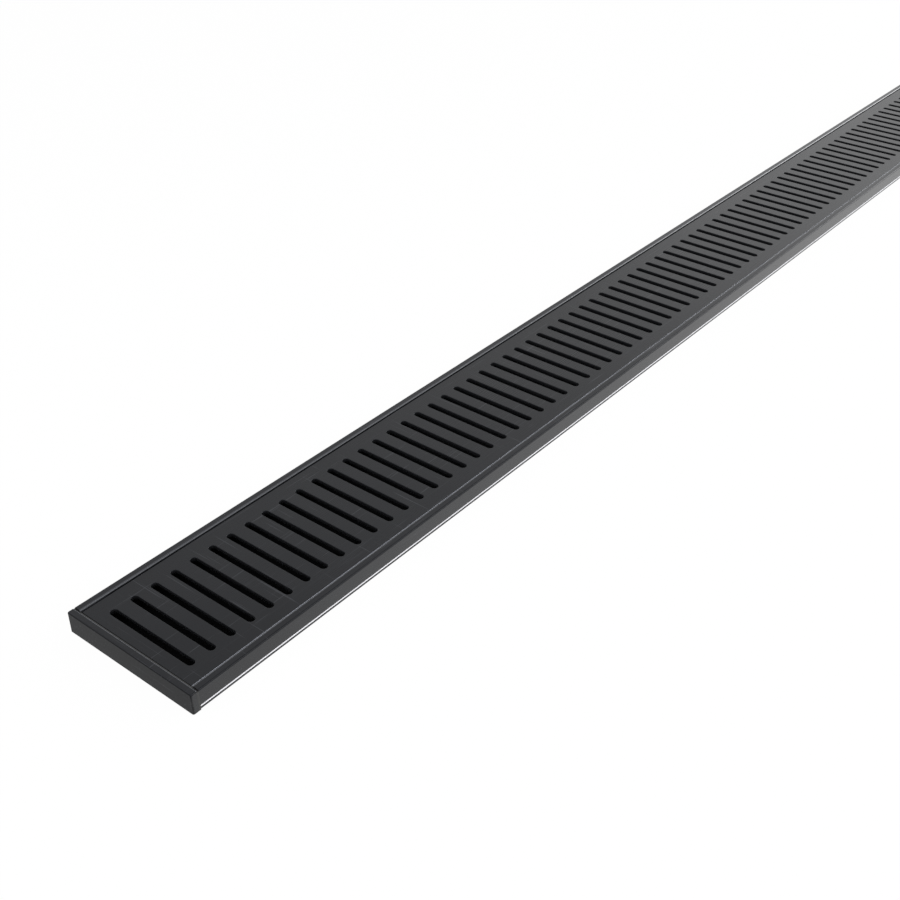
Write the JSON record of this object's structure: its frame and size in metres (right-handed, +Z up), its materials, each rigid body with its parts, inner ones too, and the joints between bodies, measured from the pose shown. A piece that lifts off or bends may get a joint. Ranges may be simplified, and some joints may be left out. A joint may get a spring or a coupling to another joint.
{
  "type": "channel drain",
  "caption": "Low black metal channel drain with a lift-out cover plate cut by a row of round-ended cross slots, flat end caps, pale seal strips along its feet and a waste hole in the base.",
  "frame": {"origin": "middle of the underside", "axes": "+X along the drain, +Y across it, +Z up out of the slotted cover"},
  "size_m": [1.2, 0.1, 0.014],
  "materials": {
    "black_aluminium": "matt black anodised, faint lengthways grain",
    "cap_aluminium": "matt black anodised",
    "pale_seal": "pale matt sealing strip",
    "black_rubber": "matt rubber sheet",
    "pad_rubber": "matt rubber"
  },
  "bodies": {
    "root": {"channel_body": "black_aluminium", "slotted_grate": "black_aluminium", "end_cap_left": "cap_aluminium", "end_gasket_left": "black_rubber", "end_cap_right": "cap_aluminium", "end_gasket_right": "black_rubber", "seal_strip_front": "pale_seal", "grate_pad_front_1": "pad_rubber", "grate_pad_front_2": "pad_rubber", "grate_pad_front_3": "pad_rubber", "grate_pad_front_4": "pad_rubber", "grate_pad_front_5": "pad_rubber", "grate_pad_front_6": "pad_rubber", "seal_strip_rear": "pale_seal", "grate_pad_rear_1": "pad_rubber", "grate_pad_rear_2": "pad_rubber", "grate_pad_rear_3": "pad_rubber", "grate_pad_rear_4": "pad_rubber", "grate_pad_rear_5": "pad_rubber", "grate_pad_rear_6": "pad_rubber"}
  },
  "joints": []
}
